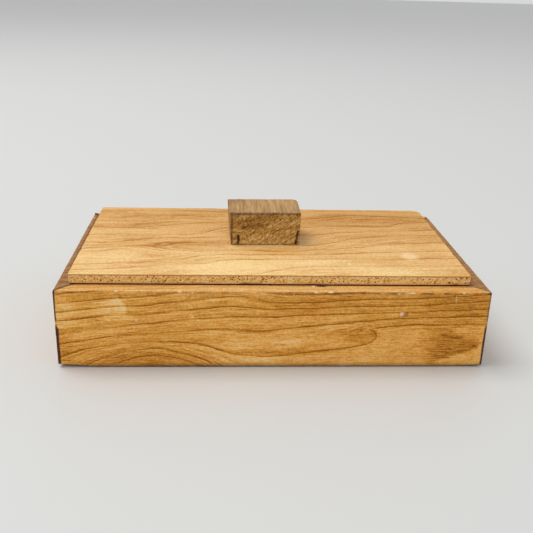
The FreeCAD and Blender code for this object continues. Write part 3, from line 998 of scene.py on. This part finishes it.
# %% [markdown]
# ### Filled nail hole
# A nail was set below the surface of the front board and the hole filled, which leaves a small pinkish
# disc with a darker rim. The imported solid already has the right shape, so it only gets a finish: dry
# filler, matt, with a few crumbs.

# %% Filler
def refinish(node, material):
    """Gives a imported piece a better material."""
    node_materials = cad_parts[node].data.materials
    node_materials.clear()
    node_materials.append(material)
    print(node, "is now", material.name)


filler, tree, shader = new_material("dried_wood_filler")
place = add(tree, "ShaderNodeTexCoord", output="Object")
crumbs = add(tree, "ShaderNodeTexNoise", {"Vector": place, "Scale": 1 / (0.8 * MM), "Detail": 2.0})
plug_disc = (plug_spot[0] - 0.7, FRONT_FACE, plug_spot[1] + 0.3, 1.9, 9.0, 1.7, 1.0)
inside_rim = marks(tree, place, [plug_disc])
dry = add(tree, "ShaderNodeValToRGB", {"Fac": crumbs}, [(0.3, "#F0B888"), (0.7, "#FFD6A4")])
filled = layered(tree, "#8E4A16", [(inside_rim, dry)])
surface(tree, shader, {"Base Color": filled, "Roughness": 0.8}, crumbs, 0.1)
refinish("front_filler_plug", filler)

# %% [markdown]
# ## Lid panel
# The lid is three-ply board: two thin face veneers and a thick core whose grain runs the other way, so
# its front edge shows the core's end grain. Veneer is peeled off a turning log in one long sheet. The
# knife cuts the rings at a very low angle, which gives wide soft bands and long tongues. The patterns are
# those of the pine, but softer and further apart. Its fibres are drawn 2 mm wide, as finer ones wouldn't
# show.

# %% Veneer material
VENEER_STAINS = ("#F0CE90", "#D6A560", "#AA6E12")  # pale, middle, dark


def veneer(name, edge, knots=(), bare_spots=()):
    """Peeled veneer with its fibres along X. The edge colour shows where the sheet is cut."""
    material, tree, shader = new_material(name)
    place, ring, spacing, tone = read_figure(tree)
    wander, reaches, breaks = (14.0, 7.0, 4.0, 5.0), (0.8, 2.2, 10.0), (50.0, 14.0, 2.0, 0.40, 0.60, 0.35)
    ring, line, fade = ring_lines(tree, place, "x", ring, spacing, wander, reaches, breaks)
    wisps = ring_streaks(tree, place, "x", ring, 34.0, 7.5, 0.6, 0.42, 0.64)
    busy = stretched_noise(tree, place, "x", 55.0, 22.0, 1.0, 0.40, 0.60)
    busy = add(tree, "ShaderNodeMapRange", {"Value": busy, "To Min": 0.2})
    wisps = add(tree, "ShaderNodeMath", {0: wisps, 1: busy}, operation="MULTIPLY")
    fibres = stretched_noise(tree, place, "x", 30.0, 2.0, 2.0, 0.25, 0.75)
    flecks = stretched_noise(tree, place, "x", 6.0, 1.8, 1.0, 0.56, 0.78)
    mottling = stretched_noise(tree, place, "x", 1.8, 2.0, 1.0, 0.25, 0.75)
    clouds = stretched_noise(tree, place, "x", 60.0, 22.0, 2.0, 0.3, 0.7)

    shadowed = add(tree, "ShaderNodeMath", {0: tone, 1: -1.0}, operation="MULTIPLY")
    patterns = [(line, 0.42), (fade, 0.08), (wisps, 0.29), (fibres, 0.18), (flecks, 0.14), (mottling, 0.26)]
    darkness = weighted_sum(tree, shadowed, patterns + [(clouds, 0.08)])
    colour = add(tree, "ShaderNodeValToRGB", {"Fac": darkness}, zip((0.10, 0.5, 1.0), VENEER_STAINS))
    red_clouds = stretched_noise(tree, place, "x", 45.0, 18.0, 2.0, 0.42, 0.7)
    red_share = add(tree, "ShaderNodeMath", {0: red_clouds, 1: 0.18}, operation="MULTIPLY")
    layers = [(red_share, "#F2CCA0", "MULTIPLY")]
    for spots, hue in ((bare_spots, "#F2D2A0"), (knots, "#A05C20")):
        layers += [(marks(tree, place, spots), hue)] if spots else []
    normal = add(tree, "ShaderNodeNewGeometry", output="Normal")
    upward = add(tree, "ShaderNodeSeparateXYZ", {0: normal}, output=2)
    upward = add(tree, "ShaderNodeMath", {0: upward}, operation="ABSOLUTE")
    sockets = {"Value": upward, "From Max": 0.6, "To Min": 0.85, "To Max": 0.0}
    layers.append((add(tree, "ShaderNodeMapRange", sockets), edge))
    colour = layered(tree, colour, layers)
    sockets = {"Base Color": colour, "Roughness": 0.55, "Specular IOR Level": 0.2}
    surface(tree, shader, sockets, fibres, 0.06, 0.6)
    return material


# %% Marks on the lid, and the two veneers
LID_TOP = 58.4


def on_lid(spots):
    """Marks on the lid's upper face, from (x, y, half x, half y, strength)."""
    return [(x, y, LID_TOP, wide, deep, MARK_DEPTH, strength) for x, y, wide, deep, strength in spots]


LID_KNOTS = [
    (-94, 31.6, 3.0, 2.0, 0.5),
    (-90, 38.7, 2.2, 1.6, 0.45),
    (-87.5, 32, 1.8, 1.6, 0.5),
    (-97, 27, 2.6, 1.3, 0.4),
    (-82, 22, 3.0, 1.4, 0.4),
    (-70, 50.6, 2.4, 1.4, 0.4),
]
LID_BARE_SPOTS = [(91.7, -31.5, 5.6, 7.0, 0.55), (49, -47, 1.2, 2.2, 0.6)]
lid_veneer = veneer("peeled_fir_veneer", "#B9853C", on_lid(LID_KNOTS), on_lid(LID_BARE_SPOTS))
under_veneer = veneer("peeled_fir_veneer_under", "#E4B676")

# %% [markdown]
# ## End grain
# Where wood is cut across, its fibres show as dots, and a saw leaves torn slanting dashes. A Voronoi
# texture has one dot in each of its cells, which suits pores. The dots are drawn more than a millimetre
# apart, many times coarser than real ones, because finer ones wouldn't show.

# %% Pores and torn fibres
def pore_dots(tree, place, spacing_mm, reach):
    """A dark dot in each cell, with the cells' size along x, y and z."""
    sockets = {"Vector": place, "Scale": [1 / (size * MM) for size in spacing_mm]}
    at = add(tree, "ShaderNodeMapping", sockets)
    distance = add(tree, "ShaderNodeTexVoronoi", {"Vector": at, "Scale": 1.0}, output="Distance")
    sockets = {"Value": distance, "From Max": reach, "To Min": 1.0, "To Max": 0.0}
    return add(tree, "ShaderNodeMapRange", sockets, interpolation_type="SMOOTHSTEP")


def torn_dashes(tree, place, slant, size_mm, detail, low, high):
    """Short dashes on the faces square to Y, turned by the slant in degrees."""
    scale = [size * MM for size in size_mm]
    sockets = {"Vector": place, "Rotation": (0, math.radians(slant), 0), "Scale": scale}
    at = add(tree, "ShaderNodeMapping", sockets, vector_type="TEXTURE")
    cloud = add(tree, "ShaderNodeTexNoise", {"Vector": at, "Scale": 1.0, "Detail": detail})
    return add(tree, "ShaderNodeMapRange", {"Value": cloud, "From Min": low, "From Max": high})


# %% [markdown]
# ### Core of the lid
# The core is pale poplar. Its front edge shows small dark pores and the saw's dashes, some parts coarser
# than others. It isn't oiled, so it is rough and matt.

# %% Core material
core_wood, tree, shader = new_material("poplar_core_ply")
place = add(tree, "ShaderNodeTexCoord", output="Object")
pores = pore_dots(tree, place, (1.7, 20, 1.5), 0.42)
dashes = torn_dashes(tree, place, -40, (3.6, 20, 0.9), 2.0, 0.42, 0.66)
patchy = stretched_noise(tree, place, "x", 16.0, 16.0, 2.0, 0.35, 0.65)
coarse = add(tree, "ShaderNodeMapRange", {"Value": patchy, "To Min": 0.35})
some_pores = add(tree, "ShaderNodeMath", {0: pores, 1: coarse}, operation="MULTIPLY")
grit = stretched_noise(tree, place, "x", 1.2, 1.2, 1.0, 0.3, 0.7)
darkness = weighted_sum(tree, 0.0, [(some_pores, 1.3), (dashes, 0.30), (grit, 0.42)])
stops = [(0.05, "#FFE0A2"), (0.45, "#ECB45E"), (1.0, "#5E240A")]
core_colour = add(tree, "ShaderNodeValToRGB", {"Fac": darkness}, stops)
sockets = {"Base Color": core_colour, "Roughness": 0.75, "Specular IOR Level": 0.2}
surface(tree, shader, sockets, darkness, -0.2)

# %% [markdown]
# ### Panel layers
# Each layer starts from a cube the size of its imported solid, so the three fit together as packed. The
# upright corners are eased, the back right one is knocked off more, and the sheet was sawn a little out
# of square. Cuts both ways then give the points that carry the figure.

# %% Figure of the lid
LID_RINGS = [
    (0, [(-60, -90), (0, -82), (60, -74), (124, -70)]),
    (1, [(-100, -84), (-40, -73), (-15, -66.5), (-5, -62), (5, -57.5)]),
    (1, [(18, -53.5), (35, -52), (50, -51), (75, -52)]),
    (1, [(100, -49.5), (124, -50)]),
    (2, [(-126, -60), (-95, -56), (-75, -52), (-55, -49), (-40, -46), (-30, -41.5), (0, -40), (25, -39)]),
    (2, [(50, -38.5), (80, -38), (124, -36)]),
    (3, [(-126, -51), (-112, -50), (-85, -47), (-70, -43), (-55, -38), (-44, -32.5), (-25, -31), (0, -31)]),
    (3, [(30, -29), (60, -27), (90, -24), (124, -22)]),
    (4, [(-45, -25.5), (-60, -24), (-72, -20.5), (-80, -17)]),
    (4, [(-70, -12), (-58, -8.5), (-45, -6.5), (-30, -5)]),
    (4.45, [(-62, -15), (-40, -16), (-10, -18), (15, -20)]),
    (3.7, [(-98, -20), (-122, -27)]),
    (5, [(-126, -10), (-105, -8.5), (-95, -4), (-78, 0), (-55, 1.5), (-35, 4)]),
    (5, [(26, -12), (45, -6), (58, 2), (75, 7), (100, 10), (124, 11)]),
    (6, [(-126, 6.5), (-100, 8), (-85, 6), (-60, 8), (-48, 10.5), (-42, 16), (-35, 22), (-28, 25)]),
    (6, [(28, 10), (60, 17), (90, 20), (124, 24)]),
    (7, [(-126, 25), (-112, 22), (-95, 24), (-70, 30), (-40, 36), (-28, 37)]),
    (7, [(24, 28), (45, 30), (70, 30.5), (90, 31), (96, 35), (100, 38.5), (124, 42)]),
    (8, [(-126, 46), (-90, 50), (-68, 54), (-50, 52), (-28, 50), (30, 47), (48, 52), (65, 57), (80, 56.5)]),
    (8, [(97, 55), (124, 52)]),
    (9, [(-126, 63), (-60, 64), (0, 62), (60, 68), (124, 66)]),
]
LID_TONES_AND_PAINTED_LIGHT = [
    # painted light: the lid paler across the front
    (0, -54, 75, 16, 0.14),
    (-90, -45, 40, 16, 0.04),
    (5, -23, 18, 7, -0.18),  # orange wood in front of the handle
    (-50, -15, 26, 8, -0.15),  # inside the reddish tongue
    (68, 31.5, 26, 2.2, -0.20),  # the darkest streak
    (-98, -3, 14, 2.5, -0.10),
    (-98, 7, 16, 2.0, -0.10),
    (-119, 24, 8, 2.5, -0.14),
    (-66, 54, 7, 2.5, -0.12),
    # the next three are painted shade: the lid darker towards the back and the right
    (90, 30, 75, 50, -0.20),
    (0, 54, 170, 34, -0.23),
    (-80, 50, 60, 30, -0.05),
    (-70, 8, 70, 24, -0.14),
    (70, -30, 60, 18, -0.06),
    (100, -50, 40, 20, -0.05),
    (-80, -53, 34, 2.2, -0.08),
    (-82, -46.5, 30, 2.0, -0.10),
]

# %% Panel layers
OUT_OF_SQUARE = 1.2  # how far the front right corner of the lid lies inside a true rectangle
EASED_CORNER, KNOCKED_CORNER = 0.8, 5.5


def ply(name, node, material, cell):
    """One layer of the lid panel, with eased corners and a grid of cuts."""
    low, high = in_mm(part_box(node))
    bm = bmesh.new()
    bmesh.ops.create_cube(bm, size=1.0)
    bmesh.ops.scale(bm, verts=bm.verts, vec=high - low)
    bmesh.ops.translate(bm, verts=bm.verts, vec=(low + high) / 2)

    def at_back_right(co):
        return co.x > high[0] - 0.1 and co.y > high[1] - 0.1

    back_right = edges_where(bm, at_back_right)
    others = [e for e in bm.edges if e.verts[0].co.xy == e.verts[1].co.xy and e not in back_right]
    bevel(bm, others, EASED_CORNER)
    bevel(bm, edges_where(bm, at_back_right), KNOCKED_CORNER)
    cut_across(bm, 1, np.arange(low[1] + cell, high[1] - cell / 2, cell))
    long_edges = [e for e in bm.edges if e.calc_length() > (high[0] - low[0]) * 0.5]
    bmesh.ops.subdivide_edges(bm, edges=long_edges, cuts=int((high[0] - low[0]) / cell), use_grid_fill=True)
    for vert in bm.verts:
        forward = (high[1] - vert.co.y) / (high[1] - low[1])
        vert.co.x -= OUT_OF_SQUARE * forward * max(0.0, vert.co.x / high[0])
    wear_arrises(bm, depth=0.12, seed=9.0, chip=0.35)
    return finished_piece(name, bm, "lid", material, node)


lid_rings = ring_sheet(LID_RINGS, stretch=2.0)
upper = ply("lid_upper_veneer_worn", "lid_upper_veneer", lid_veneer, 2.0)
draw_figure(upper, lambda p: (p[:, 0], p[:, 1], p[:, 2] * 0), lid_rings, 8.0, LID_TONES_AND_PAINTED_LIGHT)
lower = ply("lid_lower_veneer_worn", "lid_lower_veneer", under_veneer, 3.0)
draw_figure(lower, lambda p: (p[:, 0], -p[:, 1], p[:, 2] * 0), lid_rings, 8.0)
ply("lid_core_worn", "lid_core_ply", core_wood, 4.0)

# %% [markdown]
# ## Handle
# The handle is an offcut of a coarse brown wood, sawn and not planed, with its end grain to the front.
# End grain and long grain are two recipes, and a number kept on the mesh says where each one shows.

# %% Handle material
block_wood, tree, shader = new_material("sawn_chestnut_offcut")
place, ring, _, tone = read_figure(tree)
end_grain, grime_and_painted_shade = (
    add(tree, "ShaderNodeAttribute", output="Fac", attribute_name=kept) for kept in ("end_grain", "grime_and_painted_shade")
)
share = add(tree, "ShaderNodeMath", {0: ring}, operation="FRACT")
band = add(tree, "ShaderNodeValToRGB", {"Fac": share}, [(0.0, 0.9), (0.25, 0.4), (0.6, 0.1), (1.0, 0.6)])
pores = pore_dots(tree, place, (1.25, 16, 1.25), 0.62)
torn = torn_dashes(tree, place, -33, (2.5, 20, 1.1), 3.0, 0.3, 0.7)
blotches = add(tree, "ShaderNodeTexNoise", {"Vector": place, "Scale": 1 / (8 * MM), "Detail": 2.0})
fibres = stretched_noise(tree, place, "y", 25.0, 1.1, 2.0, 0.25, 0.75)
broad = stretched_noise(tree, place, "y", 30.0, 5.0, 2.0, 0.3, 0.7)

end_dark = add(tree, "ShaderNodeMath", {0: tone, 1: -1.0}, operation="MULTIPLY")
end_dark = weighted_sum(tree, end_dark, [(band, 0.26), (pores, 0.30), (torn, 0.50), (blotches, 0.25)])
stops = [(0.1, "#F2D092"), (0.5, "#BE9048"), (1.0, "#643C08")]
end_colour = add(tree, "ShaderNodeValToRGB", {"Fac": end_dark}, stops)
long_dark = weighted_sum(tree, 0.0, [(fibres, 0.6), (broad, 0.4), (torn, 0.25)])
stops = [(0.2, "#C29C6A"), (0.6, "#AA8354"), (1.0, "#8C683E")]
long_colour = add(tree, "ShaderNodeValToRGB", {"Fac": long_dark}, stops)
# The dark colour darkens the splits and two front arrises, and is painted shade round the foot
colour = layered(tree, long_colour, [(end_grain, end_colour), (grime_and_painted_shade, "#34140F")])
height = weighted_sum(tree, torn, [(pores, -0.8)])
surface(tree, shader, {"Base Color": colour, "Roughness": 0.8, "Specular IOR Level": 0.25}, height, 0.4, 0.8)

# %% [markdown]
# ### Handle block
# The saw left the block a little out of square, and it was screwed down slightly turned. Its front has
# dried faster than the rest and has split at both sides. The block is a cube cut into a fine grid,
# because the splits are real grooves: points within one are pushed back into the wood.

# %% Figure and splits of the handle
HANDLE_LENGTH, HANDLE_DEPTH = 47.0, 35.0
HANDLE_TURN = math.radians(2.0)
handle_low, handle_high = in_mm(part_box("handle_block"))
handle_middle = (handle_low + handle_high) / 2
handle_height = handle_high[2] - handle_low[2]
HANDLE_RINGS = [
    (0, [(-26, 58), (0, 57), (20, 60)]),
    (1, [(-26, 63), (-8, 61), (6, 62), (17, 64.5)]),
    (2, [(-26, 67), (-10, 67), (5, 68.5), (20, 72)]),
    (3, [(-26, 70), (-12, 71.5), (5, 75), (20, 80)]),
    (4, [(-26, 74), (-12, 76.5), (2, 80), (10, 83)]),
    (5, [(-26, 79), (-14, 82)]),
]
HANDLE_TONES = [
    (-14, 72, 12, 4, -0.16),
    (-20, 76, 8, 6, -0.08),
    (-2, 78, 10, 3, -0.14),
    (-4, 61, 22, 3.5, 0.14),
    (10, 74, 9, 5, 0.06),
]
# Drying splits in the front: the two ends of each, as (x, z), and half its width
SPLITS = [((-22.0, 65.4), (-21.8, 58.4), 0.7), ((18.8, 68.6), (17.4, 58.6), 0.6)]
SPLIT_DEPTH = 1.4
FACE_DEPTH = 1.6  # what counts as the front face, from the foremost point


def past_split(x, z):
    """How far a point of the front lies from the nearest split, as a share of its half width there."""
    shares = [9.0]
    for (top_x, top_z), (low_x, low_z), half_wide in SPLITS:
        down = (top_z - z) / (top_z - low_z)
        if 0 <= down <= 1.05:
            middle = top_x + (low_x - top_x) * down + 0.35 * noise.noise(Vector((z * 0.8, 3, 0)))
            shares.append(abs(x - middle) / half_wide)
    return min(shares)


# %% Handle block
CELL = 0.7
KNOCKED_BACK_CORNER, SAWN_ARRIS = 5.0, 0.5
block = bmesh.new()
bmesh.ops.create_cube(block, size=1.0)
bmesh.ops.scale(block, verts=block.verts, vec=(HANDLE_LENGTH, HANDLE_DEPTH, handle_height))
bevel(block, edges_where(block, lambda co: co.x > 0 and co.y > 0), KNOCKED_BACK_CORNER, 5)
bevel(block, [edge for edge in block.edges if edge.calc_face_angle() > math.radians(60)], SAWN_ARRIS)
cut_across(block, 1, np.arange(-HANDLE_DEPTH / 2 + CELL, HANDLE_DEPTH / 2, CELL * 2))
cut_across(block, 2, np.arange(-handle_height / 2 + CELL, handle_height / 2, CELL))
cut_across(block, 0, np.arange(-HANDLE_LENGTH / 2 + CELL, HANDLE_LENGTH / 2, CELL))
wear_arrises(block, depth=0.3, seed=5.0, chip=0.5)
bmesh.ops.rotate(block, verts=block.verts, matrix=Matrix.Rotation(HANDLE_TURN, 3, "Z"))
bmesh.ops.translate(block, verts=block.verts, vec=handle_middle)
print("handle block points:", len(block.verts))

# %% [markdown]
# ### Out of square, torn and split
# The left side leans out towards its top, the right side leans in at the front, and the top dips a
# little. The front face is torn by the saw. Each is a small shift that grows across the block, as a
# lattice would give.

# %% Skew the block and open its splits
front_of_handle = handle_low[1] + FACE_DEPTH
for vert in block.verts:
    up = (vert.co.z - handle_low[2]) / handle_height
    backward = (vert.co.y - handle_low[1]) / HANDLE_DEPTH
    if vert.co.x < handle_middle[0]:
        vert.co.x -= (0.5 + 1.1 * up) * (handle_middle[0] - vert.co.x) / (HANDLE_LENGTH / 2)
    else:
        lean = -0.7 + 0.4 * up + 1.6 * backward * up
        vert.co.x += lean * (vert.co.x - handle_middle[0]) / (HANDLE_LENGTH / 2)
    vert.co.z -= 0.25 * up * (0.5 + 0.5 * noise.noise(Vector((vert.co.x * 0.15, vert.co.y * 0.15, 7))))
    if vert.co.y < front_of_handle:
        vert.co.y += 0.18 * (1 + noise.noise(vert.co * 0.7))
        if past_split(vert.co.x, vert.co.z) < 1.0:
            vert.co.y += SPLIT_DEPTH
block_piece = finished_piece("handle_block_sawn", block, "lid", block_wood, "handle_block")
handle_rings = ring_sheet(HANDLE_RINGS, stretch=1.0)
draw_figure(block_piece, lambda p: (p[:, 0], p[:, 2], p[:, 1] * 0), handle_rings, 1.0, HANDLE_TONES)

# %% [markdown]
# ### Darkening and painted shade on the handle
# The front is darker in its splits and along its upper and left arrises. Round the foot a line of painted
# shade stands where the block meets the lid.

# %% Darkening and painted shade on the handle
places = vertex_numbers(block_piece, "co") / MM
at_front = places[:, 1] < front_of_handle + FACE_DEPTH
in_split = np.clip(1.4 - np.array([past_split(x, z) for x, _, z in places]), 0, 1)
top_arris = 0.75 * np.exp(-(((places[:, 2] - handle_high[2] + 0.5) / 0.5) ** 2))
left_arris = 0.75 * np.exp(-(((places[:, 0] - (handle_low[0] + 1.1)) / 0.8) ** 2))
# Painted shade round the foot, where the block meets the lid
painted_foot_shade = 0.35 * np.exp(-(((places[:, 2] - handle_low[2]) / 0.5) ** 2))
dirt_and_shade = np.maximum(at_front * np.maximum(in_split, np.maximum(top_arris, left_arris)), painted_foot_shade)
store(block_piece, "grime_and_painted_shade", np.clip(dirt_and_shade, 0, 1))
store(block_piece, "end_grain", np.clip(np.abs(vertex_numbers(block_piece, "normal")[:, 1]) * 4 - 2.0, 0, 1))
print("dirty points on the handle:", int((dirt_and_shade > 0.5).sum()))

# %% [markdown]
# ## Parts that are mostly hidden
# The runners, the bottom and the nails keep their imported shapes, because little of them shows. Their
# finishes need no figure kept on a mesh: the runners are straight-grained stock, whose rings are nearly
# flat sheets, and a distorted wave gives those.

# %% Plain batten
batten, tree, shader = new_material("softwood_batten_along_y")
place = add(tree, "ShaderNodeTexCoord", output="Object")
scale = (1 / (6 * MM), 1 / (60 * MM), 1 / (6 * MM))
sockets = {"Vector": place, "Scale": scale, "Rotation": (0.2, 0.1, 0.0)}
sheets_place = add(tree, "ShaderNodeMapping", sockets)
sockets = {"Vector": sheets_place, "Scale": 0.5, "Distortion": 3.0, "Detail": 2.0, "Detail Scale": 1.5}
rings = add(tree, "ShaderNodeTexWave", sockets, output="Fac", bands_direction="Z")
fibres = stretched_noise(tree, place, "y", 25.0, 0.6, 2.0)
stops = [(0.35, "#E0BC86"), (0.7, "#D0A367"), (1.0, "#B27C41")]
darkness = weighted_sum(tree, fibres, [(rings, 0.5)])
colour = add(tree, "ShaderNodeValToRGB", {"Fac": darkness}, stops)
surface(tree, shader, {"Base Color": colour, "Roughness": 0.7}, fibres, 0.08)

# %% [markdown]
# ### Hardboard and steel
# The bottom is tempered hardboard: felted brown fibres pressed smooth, stained in soft blotches. The
# nails and screws are dull steel wire, a metal whose tarnish is browner and rougher than the bare parts.

# %% Hardboard and steel
hardboard, tree, shader = new_material("pressed_hardboard")
place = add(tree, "ShaderNodeTexCoord", output="Object")
sockets = {"Vector": place, "Scale": 1 / (1.5 * MM), "Detail": 5.0, "Roughness": 0.7}
felt = add(tree, "ShaderNodeTexNoise", sockets)
stain = add(tree, "ShaderNodeTexNoise", {"Vector": place, "Scale": 1 / (40 * MM), "Detail": 2.0})
both = weighted_sum(tree, stain, [(felt, 0.6)])
colour = add(tree, "ShaderNodeValToRGB", {"Fac": both}, [(0.4, "#8A6038"), (1.0, "#6A4526")])
surface(tree, shader, {"Base Color": colour, "Roughness": 0.6}, felt, 0.05)

steel, tree, shader = new_material("dull_wire_steel")
place = add(tree, "ShaderNodeTexCoord", output="Object")
tarnish = add(tree, "ShaderNodeTexNoise", {"Vector": place, "Scale": 1 / (0.8 * MM), "Detail": 3.0})
colour = add(tree, "ShaderNodeValToRGB", {"Fac": tarnish}, [(0.35, "#A8A29A"), (0.75, "#6B5B4C")])
roughness = add(tree, "ShaderNodeMapRange", {"Value": tarnish, "To Min": 0.3, "To Max": 0.65})
fill(tree, shader, {"Base Color": colour, "Metallic": 1.0, "Roughness": roughness})

for node, material in (
    ("lid_left_runner", batten),
    ("lid_right_runner", batten),
    ("bottom_panel", hardboard),
    ("corner_brads", steel),
    ("lid_brads", steel),
    ("handle_screws", steel),
):
    refinish(node, material)
